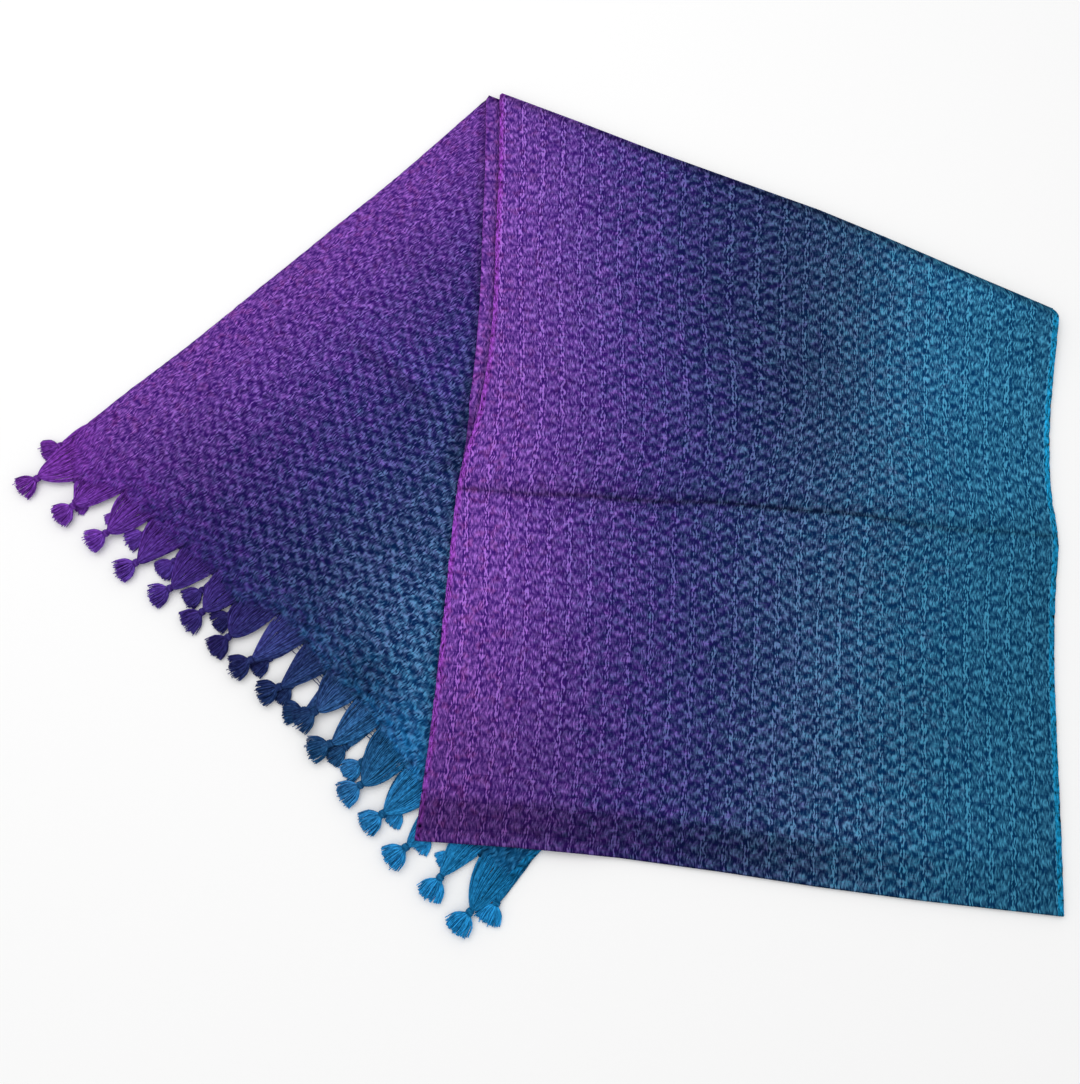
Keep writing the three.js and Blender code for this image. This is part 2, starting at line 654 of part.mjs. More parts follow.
function addTassels(rows, setback, fringe) {
  const roots = fringeNotches.map((n) => point(n.x, n.y).addScaledVector(legRun, setback));
  rows.forEach((row, index) => {
    const body = tassel(roots[index], roots[index + 1], row, tasselLevels[row.pose ?? fringe]);
    add(body, `tassel_${fringe}_${String(index + 1).padStart(2, "0")}`, dye((index + 0.5) / rows.length));
  });
}
addTassels(frontTassels, 0, "front");
addTassels(backTassels, lowerFringeSetback, "back");

// The origin is under the middle of the whole scarf
const box = new THREE.Box3().setFromObject(scarf);
const middle = box.getCenter(new THREE.Vector3());
scarf.position.set(-middle.x, -middle.y, -box.min.z);

export default scarf;
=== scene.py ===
# A handwoven scarf lying flat: folded end to end, then over on a slanting line, with two rows of tassels.
import math
import random
from functools import partial
import bmesh
import bpy
import numpy as np
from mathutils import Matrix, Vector, noise


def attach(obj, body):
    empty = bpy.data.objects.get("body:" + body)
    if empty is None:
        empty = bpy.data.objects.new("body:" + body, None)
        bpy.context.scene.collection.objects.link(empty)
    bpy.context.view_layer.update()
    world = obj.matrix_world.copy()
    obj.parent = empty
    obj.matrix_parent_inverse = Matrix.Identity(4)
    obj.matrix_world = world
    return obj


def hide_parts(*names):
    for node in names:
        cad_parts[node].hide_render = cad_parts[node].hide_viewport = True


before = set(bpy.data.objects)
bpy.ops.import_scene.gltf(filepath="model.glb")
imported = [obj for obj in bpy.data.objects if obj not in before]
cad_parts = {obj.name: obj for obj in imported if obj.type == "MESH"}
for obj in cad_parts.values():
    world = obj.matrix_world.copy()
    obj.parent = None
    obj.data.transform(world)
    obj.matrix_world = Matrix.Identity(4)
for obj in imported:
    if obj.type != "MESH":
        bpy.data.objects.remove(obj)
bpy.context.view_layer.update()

dice = random.Random(11)

# Plan of the cloth in millimetres, and where its zero lies in the model
cloth = {
    "origin": (-6.992, -64.848),
    "width": 0.5,
    "thickness": 1.3,
    "pitch": 1.8,
    "layer": 1.5,
    "legAngle": 44.4,
    "legEdgeBow": 7.0,
    "lowerSetback": 20.0,
    "lowerEdgeShift": 1.5,
}

# The panel's purple and teal edges, a row for each section from the top fold down
panelSections = [
    ((-38, 441), (456, 209)),
    ((-38, 367), (445, 154)),
    ((-40, 283), (435, 95)),
    ((-42, 203), (430, 45)),
    ((-51, 126), (430, 0)),
    ((-67, 61), (421, -50)),
    ((-73, 5), (413, -105)),
    ((-79, -75), (407, -168)),
    ((-87, -165), (401, -235)),
    ((-96, -242), (395, -294)),
]

# How far the inner layer stands out beyond the front one, by height on the front edge
standOut = [(-242, -1), (61, -1), (90, 3), (126, 10), (203, 13), (283, 13), (367, 13.5), (441, 14)]

# Ends of the roots of the tassels along the fringe
notches = [
    (-401, 90), (-394, 52), (-353, 42), (-328, 17), (-299, -7), (-270, -29), (-252, -55), (-215, -64), (-192, -88),
    (-174, -113), (-149, -134), (-130, -156), (-107, -187), (-85, -211), (-65, -233), (-47, -255), (-22, -275),
]

# How far the top fold bows out and the leg's purple edge bulges out, by share of the way along each,
# and how far the closed end bends up, by place across
topFoldBow = [(0, 2.6), (0.15, 5), (0.3, 5.8), (0.45, 8.8), (0.58, 11.5), (0.7, 10.4), (0.85, 7.4), (1, 5)]
legEdgeBulge = [(0, 0), (0.05, 3.5), (0.25, 3.4), (0.42, 5.6), (0.6, 5.4), (0.75, 3), (1, 1.5)]
bottomBend = [(-90, 0), (-20, 2.8), (60, 3.8), (140, 1.6), (210, -1.6), (290, -3.5), (400, -3.8)]

# How far into the cloth each of these bends reaches
bendReach = {"top": 150, "leg": 100, "end": 110}

# The crease across the panel
creaseLine = [
    (-61, 45), (-25, 43), (0, 40), (50, 37.5), (100, 34), (150, 32), (200, 28), (250, 23.5), (300, 16),
    (350, 10), (400, 6), (430, 4),
]

# Each tassel's knot, the middle of its brush, and how it lies
frontTassels = [
    ((-424, 55), (-431, 50), "front"),
    ((-390, 30), (-399, 23), "over"),
    ((-360, 6), (-370, 0), "over"),
    ((-333, -19), (-342, -24), "front"),
    ((-303, -41), (-312, -46), "front"),
    ((-275, -61), (-283, -67), "front"),
    ((-252, -82), (-259, -88), "front"),
    ((-232, -101), (-244, -107), "over"),
    ((-208, -123), (-220, -127), "over"),
    ((-178, -143), (-189, -150), "over"),
    ((-165, -168), (-176, -172), "over"),
    ((-140, -200), (-148, -205), "front"),
    ((-122, -222), (-131, -228), "tucked"),
    ((-103, -247), (-111, -253), "tucked"),
    ((-76, -270), (-82, -279), "tucked"),
    ((-53, -296), (-60, -304), "tucked"),
]
backTassels = [
    ((-409, 86), (-417, 83), "back"),
    ((-379, 38), (-386, 32), "pressed"),
    ((-351, 25), (-358, 18), "pressed"),
    ((-329, 7), (-339, 2), "back"),
    ((-302, -17), (-309, -23), "back"),
    ((-277, -42), (-286, -48), "back"),
    ((-252, -62), (-261, -68), "back"),
    ((-218, -99), (-227, -105), "back"),
    ((-199, -121), (-207, -128), "back"),
    ((-188, -141), (-198, -142), "back"),
    ((-153, -170), (-162, -176), "back"),
    ((-140, -182), (-149, -188), "back"),
    ((-107, -219), (-114, -226), "pressed"),
    ((-84, -239), (-92, -246), "pressed"),
    ((-66, -252), (-74, -258), "pressed"),
    ((-33, -290), (-38, -299), "back"),
]


def flat(pair):
    return Vector((pair[0], pair[1], 0.0))


def inModel(p):
    return Vector(((p.x + cloth["origin"][0]) / 1000, (p.y + cloth["origin"][1]) / 1000, p.z / 1000))


def smoothStep(value, low, high):
    share = min(1.0, max(0.0, (value - low) / (high - low)))
    return share * share * (3 - 2 * share)


def mix(a, b, share):
    return a + (b - a) * share


# A bell curve, 1 in the middle
def bell(value, middle, width):
    return math.exp(-(((value - middle) / width) ** 2))


def tableAt(rows, value):
    starts, wanted = zip(*rows)
    return float(np.interp(value, starts, wanted))


# Points at even steps along a smooth curve through the given ones
def smoothLine(points, count=600):
    known = [flat(p) for p in points]
    padded = [2 * known[0] - known[1], *known, 2 * known[-1] - known[-2]]
    dense = []
    for a, b, c, d in zip(padded, padded[1:], padded[2:], padded[3:]):
        for step in range(40):
            t = step / 40
            dense.append(0.5 * (2 * b + (c - a) * t + (2 * a - 5 * b + 4 * c - d) * t * t
                                + (3 * b - a - 3 * c + d) * t ** 3))
    dense.append(known[-1])
    coords = np.array([tuple(p) for p in dense])
    run = np.concatenate([[0], np.cumsum(np.linalg.norm(np.diff(coords, axis=0), axis=1))])
    even = np.linspace(0, run[-1], count)
    line = np.stack([np.interp(even, run, coords[:, axis]) for axis in range(3)], axis=1)
    return line, run[-1]


purpleLine, purpleLength = smoothLine([row[0] for row in panelSections])
tealLine, _ = smoothLine([row[1] for row in panelSections])


def alongLine(line, share):
    spot = min(max(share, 0.0), 1.0) * (len(line) - 1)
    low = min(int(spot), len(line) - 2)
    return Vector(line[low]).lerp(Vector(line[low + 1]), spot - low)


def xAtHeight(line, y):
    return float(np.interp(y, line[::-1, 1], line[::-1, 0]))


# A fold or edge line: its start, its end and the way out of the cloth
def foldLine(start, end):
    span = flat(end) - flat(start)
    along = span.normalized()
    out = Vector((-along.y, along.x, 0))
    return {"start": flat(start), "end": flat(end), "length": span.length, "along": along, "out": out}


def insideOf(line, p):
    return (line["start"] - p).dot(line["out"])


topFold = foldLine(panelSections[0][0], panelSections[0][1])
bottomFold = foldLine(panelSections[-1][1], panelSections[-1][0])
legTealEdge = foldLine(panelSections[0][1], notches[-1])
legRun = Vector((math.cos(math.radians(cloth["legAngle"])), math.sin(math.radians(cloth["legAngle"])), 0))
legOut = Vector((legRun.y, -legRun.x, 0))
legCorner = flat(notches[0])
legLength = (topFold["start"] - legCorner).dot(legRun)


# Bends the straight lines of the plan to those of the laid cloth
def place(p):
    plan = Vector((p.x, p.y, 0))
    topShare = (plan - topFold["start"]).dot(topFold["along"]) / topFold["length"]
    topFade = 1 - smoothStep(insideOf(topFold, plan), 0, bendReach["top"])
    legShare = (plan - legCorner).dot(legRun) / legLength
    legFade = 1 - smoothStep((plan - legCorner).dot(legOut), 0, bendReach["leg"])
    endFade = 1 - smoothStep(insideOf(bottomFold, plan), 0, bendReach["end"])
    bent = p + topFold["out"] * tableAt(topFoldBow, topShare) * topFade
    bent -= legOut * tableAt(legEdgeBulge, legShare) * legFade
    bent.y += tableAt(bottomBend, p.x) * endFade
    return inModel(bent)


# How the panel steps down beside the leg and bends along the crease. Each ripple has its strength,
# its size across and along, and a seed.
drape = {
    "stepWidth": 48, "stepMargin": 8, "shelfNear": 13, "shelfFar": 60, "lift": 1.9, "margin": 34,
    "creaseWidth": 8, "creaseDepth": 0.55, "creaseFade": (430, 250), "creaseSway": 0.7, "swayLength": 19,
    "ripples": [(0.45, 60, 95, 1.7), (0.25, 22, 30, 4.1)],
}


# Share of the leg's two layers under a point of the panel
def stackShare(p):
    besideLeg = smoothStep(insideOf(legTealEdge, p), -drape["stepWidth"] - drape["stepMargin"], -drape["stepMargin"])
    besideFold = 1 - smoothStep(insideOf(topFold, p), drape["shelfNear"], drape["shelfFar"])
    return max(besideLeg, besideFold)


def panelMargins(p):
    return [
        p.x - xAtHeight(purpleLine, p.y), xAtHeight(tealLine, p.y) - p.x,
        insideOf(topFold, p), insideOf(bottomFold, p),
    ]


# How far above the crease a point of the panel lies
def fromCrease(p):
    return p.y - tableAt(creaseLine, p.x) - drape["creaseSway"] * math.sin(p.x / drape["swayLength"])


# Slack cloth stands a little off what it lies on, unevenly, and not at the margins or in the crease
def slack(p):
    depth = mix(drape["creaseDepth"], 1, smoothStep(p.x, *drape["creaseFade"]))
    off = 1 - bell(fromCrease(p), 0, drape["creaseWidth"]) * depth
    fade = smoothStep(min(panelMargins(p)), 0, drape["margin"])
    uneven = 1
    for strength, across, along, seed in drape["ripples"]:
        uneven += strength * noise.noise(Vector((p.x / across, p.y / along, seed)))
    return drape["lift"] * off * fade * uneven


# A sheet of cloth from a grid. spotAt(column, row) gives each point in millimetres, its place
# on the flat cloth in metres, the painted shade there (a factor on the colour), how close the fringe is,
# and how far the purple selvedge is, in metres.
def makeSheet(name, columns, rows, spotAt):
    mesh = bpy.data.meshes.new(name)
    grid = bmesh.new()
    bmesh.ops.create_grid(grid, x_segments=columns, y_segments=rows, size=0.5)
    flatPlan = grid.loops.layers.uv.new("clothPlan")
    shadeLayer = grid.verts.layers.float.new("paintedShade")
    fringeLayer = grid.verts.layers.float.new("nearFringe")
    selvedgeLayer = grid.verts.layers.float.new("fromSelvedge")
    plans = {}
    for vert in grid.verts:
        column, row = round((vert.co.x + 0.5) * columns), round((vert.co.y + 0.5) * rows)
        spot, plan, shade, fringe, fromSelvedge = spotAt(column, row)
        vert.co = place(spot)
        vert[shadeLayer] = shade
        vert[fringeLayer] = fringe
        vert[selvedgeLayer] = fromSelvedge
        plans[vert] = plan
    for face in grid.faces:
        face.smooth = True
        for loop in face.loops:
            loop[flatPlan].uv = plans[loop.vert]
    grid.normal_update()
    if sum(face.normal.z * face.calc_area() for face in grid.faces) < 0:
        bmesh.ops.reverse_faces(grid, faces=grid.faces)
    grid.to_mesh(mesh)
    grid.free()
    sheet = bpy.data.objects.new(name, mesh)
    bpy.context.scene.collection.objects.link(sheet)
    wall = sheet.modifiers.new("wall", "SOLIDIFY")
    wall.thickness = cloth["thickness"] / 1000
    wall.offset = 0
    return sheet


# Selvedges waver a little where the weft turns back
def waver(y, seed):
    return 0.55 * noise.noise(Vector((y / 9, seed, 0))) + 0.35 * noise.noise(Vector((y / 3.1, seed, 5)))


# Inset of a side next to a fold, which rounds the corner there
def cornerInset(radius, distance):
    left = max(0.0, radius - distance)
    return radius - math.sqrt(max(0.0, radius * radius - left * left))


panelFront = {
    "columns": 150, "rows": 176, "foldRadius": 2.7, "foldHeight": 3.45, "foldReturn": 10, "firstRow": 7,
    "endRadius": 0.9, "endSetback": 1.6, "endReturn": 6, "nearFold": (0.8, 1.8, 3.2, 5.0),
    "foldSteps": 9, "endSteps": 7, "purpleCorner": 3.0, "tealCorner": 5.5, "crowding": 1.45,
    "hiddenEdge": 0.03, "hiddenHeights": (-100, 300), "creaseWithin": (0.3, 0.85), "halvings": 24,
    "navyShift": 0.02, "navyPlace": (0.56, 0.14), "navyHeights": (20, 150),
}


# Rows from inside the top fold, round it, down the panel and round its closed end
def panelFrontRows():
    foldSteps, endSteps = panelFront["foldSteps"], panelFront["endSteps"]
    rows = [("return", 0.0), ("return", 0.5)]
    rows += [("arc", math.pi * (1 - step / foldSteps)) for step in range(foldSteps)]
    rows += [("near", distance) for distance in panelFront["nearFold"]]
    rows += [("flat", 2 * step / (panelFront["rows"] - 1) - 1) for step in range(panelFront["rows"])]
    rows += [("end", math.pi * step / endSteps) for step in range(1, endSteps + 1)]
    rows += [("under", 0.5), ("under", 1.0)]
    return rows


def panelPoint(value, across):
    return alongLine(purpleLine, value).lerp(alongLine(tealLine, value), across)


# Place of the crease along the panel for each column, found by halving
def creaseShares(columns):
    shares = []
    for column in range(columns + 1):
        low, high = panelFront["creaseWithin"]
        for _ in range(panelFront["halvings"]):
            middle = (low + high) / 2
            if fromCrease(panelPoint(middle, column / columns)) > 0:
                low = middle
            else:
                high = middle
        shares.append(low)
    return shares


def buildPanelFront():
    rowPlan = panelFrontRows()
    half = cloth["layer"] / 2
    foldRadius, foldHeight, endRadius = (panelFront[key] for key in ("foldRadius", "foldHeight", "endRadius"))
    creaseAt = creaseShares(panelFront["columns"])
    first = (foldRadius + panelFront["firstRow"]) / purpleLength
    last = 1 - panelFront["endSetback"] / purpleLength

    def spotAt(column, row):
        plain = column / panelFront["columns"]
        kind, value = rowPlan[len(rowPlan) - 1 - row]
        if kind == "flat":
            reach = creaseAt[column] - first if value < 0 else last - creaseAt[column]
            value = creaseAt[column] + math.copysign(abs(value) ** panelFront["crowding"], value) * reach
        elif kind == "near":
            kind, value = "flat", (foldRadius + value) / purpleLength
        distance = insideOf(topFold, panelPoint(value, plain)) - foldRadius if kind == "flat" else 0
        if kind in ("end", "under"):
            distance = math.inf
        across = mix(cornerInset(panelFront["purpleCorner"], distance) / topFold["length"],
                     1 - cornerInset(panelFront["tealCorner"], distance) / topFold["length"], plain)
        start = topFold["start"].lerp(topFold["end"], across)
        end = bottomFold["end"].lerp(bottomFold["start"], across)
        foldCentre = start - topFold["out"] * foldHeight
        # Painted shade: dark on the hidden underside, darker as the top fold turns under, and panelShade on the flat
        shade = panelPaintedShade["underside"]
        if kind == "return":
            p = start - topFold["out"] * mix(panelFront["foldReturn"], foldHeight, value)
            p.z = half
        elif kind == "arc":
            p = foldCentre + topFold["out"] * foldRadius * math.sin(value)
            p.z = foldHeight + foldRadius * math.cos(value)
            shade = mix(*panelPaintedShade["fold"], smoothStep(value, *panelPaintedShade["foldTurn"]))
        elif kind == "flat":
            p = panelPoint(value, across)
            p.x += waver(p.y, 3.0 if plain < 0.5 else 8.0) * smoothStep(abs(plain - 0.5), 0.47, 0.5)
            p.z = 2 * cloth["pitch"] * stackShare(p) + cloth["pitch"] + half + slack(p)
            shade = panelShade(p, plain)
        elif kind == "end":
            inner = end - bottomFold["out"] * panelFront["endSetback"]
            p = inner + bottomFold["out"] * endRadius * math.sin(value)
            p.z = 2 * cloth["pitch"] * stackShare(inner) + cloth["pitch"] + half - endRadius * (1 - math.cos(value))
        else:
            p = end - bottomFold["out"] * mix(panelFront["endSetback"], panelFront["endReturn"], value)
            p.z = 2 * cloth["pitch"] * stackShare(p) + half
        hidden = panelFront["hiddenEdge"] * smoothStep(p.y, *panelFront["hiddenHeights"])
        shift = panelFront["navyShift"] * bell(plain, *panelFront["navyPlace"])
        side = mix(hidden, cloth["width"], plain) - shift * smoothStep(p.y, *panelFront["navyHeights"])
        return p, (side, insideOf(bottomFold, p) / 1000), shade, 0.0, plain * cloth["width"]

    return makeSheet("panelFrontCloth", panelFront["columns"], len(rowPlan) - 1, spotAt)


# Painted shade and light on the panel, a factor on its colour: strengths, with the places across,
# heights or distances in millimetres over which they come in
panelPaintedShade = {
    "underside": 0.45, "fold": (0.8, 0.3), "foldTurn": (0.2, 1.3), "top": 0.36, "topReach": (-1, 14),
    "band": (0.43, 0.05), "bandAcross": (0.5, 1), "bandEdge": (40, 29), "foot": 0.6, "footReach": (2, 12),
    "crease": [(0.48, 0, 2.7), (0.18, 4, 8)],
    "creasePurple": (0.8, 1), "purpleAcross": (0.05, 0.2), "creaseTeal": (1, 0.55), "tealAcross": (0.55, 0.9),
    "cloud": 0.1, "cloudSize": (120, 60), "cloudSeed": 9.3,
    "teal": (0.15, -0.12), "tealFrom": (0.6, 0.8), "tealHeights": (120, -50),
    "patches": [
        (-0.3, (-40, -210), (0.42, 0.2), None),
        (0.03, (120, 230), (0.25, 0.1), None),
        (-0.1, (100, 260), (0.6, 0.5), (0.3, 0.4)),
    ],
    "navy": 0.2, "navyPlace": (0.58, 0.13), "navyHeights": (20, 150),
}


# Painted shade: darker along the top fold, in a band above the closed end and down the crease,
# with broad painted lighter and darker patches
def panelShade(p, across):
    tone = panelPaintedShade
    end, away = insideOf(bottomFold, p), fromCrease(p)
    band = smoothStep(end, *tone["bandEdge"]) * mix(tone["foot"], 1, smoothStep(end, *tone["footReach"]))
    band *= mix(*tone["band"], smoothStep(across, *tone["bandAcross"]))
    line = sum(strength * bell(away, middle, width) for strength, middle, width in tone["crease"])
    line *= mix(*tone["creasePurple"], smoothStep(across, *tone["purpleAcross"]))
    line *= mix(*tone["creaseTeal"], smoothStep(across, *tone["tealAcross"]))
    sizeAcross, sizeAlong = tone["cloudSize"]
    broad = 1 + tone["cloud"] * noise.noise(Vector((p.x / sizeAcross, p.y / sizeAlong, tone["cloudSeed"])))
    tealLight = mix(*tone["teal"], smoothStep(p.y, *tone["tealHeights"]))
    broad *= 1 + smoothStep(across, *tone["tealFrom"]) * tealLight
    for strength, heights, comesIn, goesOut in tone["patches"]:
        here = smoothStep(p.y, *heights) * smoothStep(across, *comesIn)
        broad *= 1 + strength * here * (smoothStep(across, *goesOut) if goesOut else 1)
    broad *= 1 - tone["navy"] * bell(across, *tone["navyPlace"]) * smoothStep(p.y, *tone["navyHeights"])
    top = mix(tone["top"], 1, smoothStep(insideOf(topFold, p), *tone["topReach"]))
    return top * (1 - band) * (1 - line) * broad


# The inner layer; its painted shadow, under the front layer's edge and near the top fold, darkens it to the given share
panelInner = {
    "columns": 120, "rows": 110, "foldSetback": 8.7, "endSetback": 8.0, "tealInset": 1.2, "corner": 3.0,
    "coveredShade": 0.5, "coverReach": (5, 0.5), "foldReach": (8, 20),
}


def buildPanelInner():
    ys, outs = zip(*standOut)
    half = cloth["layer"] / 2
    first = panelInner["foldSetback"] / purpleLength
    last = 1 - panelInner["endSetback"] / purpleLength

    def spotAt(column, row):
        across = column / panelInner["columns"]
        along = 1 - row / panelInner["rows"]
        value = mix(first, last, along)
        left = alongLine(purpleLine, value)
        slope = (alongLine(tealLine, value) - left)
        out = float(np.interp(left.y, ys, outs))
        inset = cornerInset(panelInner["corner"], (value - first) * purpleLength)
        left = left - slope.normalized() * (out - inset)
        left.x += waver(left.y, 13.0)
        right = alongLine(tealLine, value) - Vector((panelInner["tealInset"], 0, 0))
        p = left.lerp(right, across)
        p.z = 2 * cloth["pitch"] * stackShare(p) + half
        side = (p - left).length / 1000
        # Painted shadow along the front layer's edge, and painted shade near the top fold
        near, far = (out - reach for reach in panelInner["coverReach"])
        shade = mix(1, panelInner["coveredShade"], smoothStep(side * 1000, near, far))
        shade *= mix(panelInner["coveredShade"], 1, smoothStep(insideOf(topFold, p), *panelInner["foldReach"]))
        return p, (side, insideOf(bottomFold, p) / 1000), shade, 0.0, side

    return makeSheet("panelInnerCloth", panelInner["columns"], panelInner["rows"], spotAt)


leg = {
    "columnsPerTassel": 9, "rows": 150, "tealInset": 4.0, "hiddenEdge": 0.009, "spread": 0.9, "fringeReach": 60,
    "foldSetback": 4, "lowerFoldSetback": 11,
}

# Painted shade and light on the leg, a factor on its colour: darker near the fold, under the panel
# and its strip and between the tassels, with broad patches; with the places across and distances over
# which that comes in
legPaintedShade = {
    "coveredShade": 0.6, "foldReach": 16, "stripTop": 61, "strip": (12, 22), "panel": (0, 7),
    "cloud": 0.12, "cloudSize": 70,
    "middle": 0.77, "middleFrom": (0.02, 0.2), "middleTo": (0.62, 0.42), "middleReach": (30, 190),
    "navy": 0.6, "navyPlace": (0.61, 0.06), "navyReach": (20, 60),
    "slit": 0.35, "slitReach": (2, 12), "purple": 0.84, "purpleAcross": (0.1, 0.5),
}

# Painted shade and light for a soft crease across the leg from its middle to the panel: darker below
# and lighter above
legCrease = {
    "line": foldLine((-161, 185), (-96, 126)), "comesIn": (-0.35, 0.15), "goesOut": (0.95, 1.3),
    "dark": 0.26, "width": 4.5, "light": 0.2, "lightAway": 16, "lightWidth": 13,
}


def legCreaseShade(p):
    line = legCrease["line"]
    share = (p - line["start"]).dot(line["along"]) / line["length"]
    away = (p - line["start"]).dot(line["out"])
    inReach = smoothStep(share, *legCrease["comesIn"]) * (1 - smoothStep(share, *legCrease["goesOut"]))
    dark = legCrease["dark"] * bell(away, 0, legCrease["width"])
    light = legCrease["light"] * bell(away, legCrease["lightAway"], legCrease["lightWidth"])
    return 1 + inReach * (light - dark)


# Where the leg's cloth begins at the fringe, by share of the way across
def fringeStart(across, setback):
    spot = across * (len(notches) - 1)
    low = min(int(spot), len(notches) - 2)
    return flat(notches[low]).lerp(flat(notches[low + 1]), spot - low) + legRun * setback


# Painted shade: darker near the fold and under the panel's edge, along the painted crease and in broad patches
def legShade(p, across, along, fromPanel, foldDistance, seed):
    tone = legPaintedShade
    covers = tone["strip"] if p.y > tone["stripTop"] else tone["panel"]
    shade = mix(tone["coveredShade"], 1, smoothStep(insideOf(topFold, p), foldDistance, foldDistance + tone["foldReach"]))
    shade *= mix(tone["coveredShade"], 1, smoothStep(fromPanel, *covers))
    shade *= 1 + tone["cloud"] * noise.noise(Vector((p.x / tone["cloudSize"], p.y / tone["cloudSize"], seed)))
    middle = smoothStep(across, *tone["middleFrom"]) * smoothStep(across, *tone["middleTo"])
    shade *= mix(1, tone["middle"], middle * (1 - smoothStep(along, *tone["middleReach"])))
    navy = bell(across, *tone["navyPlace"])
    shade *= mix(1, tone["navy"], navy * (1 - smoothStep(along, *tone["navyReach"])))
    return shade * legCreaseShade(p) * mix(tone["purple"], 1, smoothStep(across, *tone["purpleAcross"]))


def buildLegLayer(name, bottom, setback, edgeShift, foldDistance, seed):
    columns = leg["columnsPerTassel"] * (len(notches) - 1)
    corner = flat(notches[0])
    fullWidth = (flat(notches[-1]) - corner).dot(legOut)
    overrun = leg["tealInset"] + max(0.0, (flat(notches[-1]) - topFold["end"]).dot(legOut))

    def spotAt(column, row):
        across, along = column / columns, row / leg["rows"]
        start = fringeStart(across, setback)
        reach = (insideOf(topFold, start) - foldDistance) / legRun.dot(topFold["out"])
        bow = cloth["legEdgeBow"] * math.sin(math.pi * along) - edgeShift * smoothStep(along, 0, 0.1)
        p = start + legRun * reach * along + legOut * bow * (1 - across) ** 3
        p -= legOut * overrun * along * across ** 3
        if across == 0:
            p += legOut * waver(along * reach, seed) * smoothStep(along, 0, 0.03)
        p.z = bottom + cloth["layer"] / 2
        sideways = (p - corner).dot(legOut)
        side = mix(leg["hiddenEdge"], cloth["width"], min(1, max(0, sideways / fullWidth)) ** leg["spread"])
        plan = (side, (p - corner).dot(legRun) / 1000)
        shade = legShade(p, across, reach * along, xAtHeight(purpleLine, p.y) - p.x, foldDistance, seed)
        # Painted shade in the slits between the tassels
        if column % leg["columnsPerTassel"] == 0:
            shade *= mix(legPaintedShade["slit"], 1, smoothStep(reach * along, *legPaintedShade["slitReach"]))
        return p, plan, shade, 1 - smoothStep(reach * along, 0, leg["fringeReach"]), 1.0

    return makeSheet(name, columns, leg["rows"], spotAt)


# Heights of the tassels by how each lies, in millimetres
tasselPoses = {
    "front": {
        "root": 2.7, "middle": 4.6, "knot": 4.3, "knotHeight": 5.6, "brushLow": 0.9, "brushHigh": 6.2, "reach": 17},
    "over": {
        "root": 2.7, "middle": 4.8, "knot": 6.0, "knotHeight": 5.2, "brushLow": 2.4, "brushHigh": 7.6, "reach": 17},
    "tucked": {
        "root": 2.7, "middle": 2.7, "knot": 4.4, "knotHeight": 5.2, "brushLow": 1.6, "brushHigh": 6.2, "reach": 17},
    "back": {
        "root": 0.75, "middle": 0.85, "knot": 2.0, "knotHeight": 3.2, "brushLow": 0.7, "brushHigh": 3.2, "reach": 15.5},
    "pressed": {
        "root": 0.75, "middle": 0.8, "knot": 1.0, "knotHeight": 1.6, "brushLow": 0.6, "brushHigh": 1.5, "reach": 13},
}
tasselForm = {
    "topYarns": 38, "lowYarns": 24, "yarnRadius": 0.66, "bodySteps": 10, "ragged": 4, "flatHeight": 0.5,
    "rootInset": 2.5, "bendAt": 0.45, "bendSag": 0.12, "neckAt": 0.55, "clearance": 0.05,
    "bodyWidth": [(0, 1.0), (0.2, 0.88), (0.45, 0.69), (0.7, 0.47), (0.87, 0.3), (0.96, 0.18), (1, 0.13)],
    "knotWidth": 2.5, "knotLength": 5.2, "wrapTurns": 4, "turnSteps": 12, "wrapRadius": 1.0, "wrapHeight": 0.36,
    "wrapTone": 0.75, "weftRadius": 0.33, "weftTone": 0.9, "weftStart": 2.0, "weftStep": 3.2,
    "brushStrands": 96, "strandRadius": 0.6, "strandSteps": 5, "brushStart": 2.0, "brushDroop": 0.8,
    "longShare": 0.04, "longLength": 1.12, "wander": 1.2, "fullReach": 17.5,
    "brushWidth": [(0, 2.4), (0.15, 5.6), (0.35, 8.6), (0.65, 10.2), (1, 11.2)],
    "bodyLevels": [(0, 1.15), (0.1, 1), (0.28, 0.85), (0.4, 0.95), (0.47, 1.3), (0.53, 0.95), (0.6, 1.3),
                   (0.66, 1.35), (0.72, 1), (0.78, 1.35), (0.9, 1.1), (1, 1)],
    "brushLevels": [(0, 1.05), (0.15, 1.45), (0.3, 1.35), (0.4, 0.85), (0.66, 0.95), (0.72, 1.8), (1, 1.8)],
}


# Adds one yarn, as a thin tube along its points, to a curve, and gives the distance of each point along it
def addYarn(yarns, points, radius, taper=1.0, lead=1.0):
    distances = [0.0]
    spline = yarns.splines.new("POLY")
    spline.points.add(len(points) - 1)
    for index, p in enumerate(points):
        spot = place(p)
        spline.points[index].co = (spot.x, spot.y, spot.z, 1)
        share = index / (len(points) - 1)
        spline.points[index].radius = radius * mix(1, taper, share) * mix(lead, 1, smoothStep(share, 0, 0.2)) / 1000
        if index:
            distances.append(distances[-1] + (p - points[index - 1]).length / 1000)
    return distances


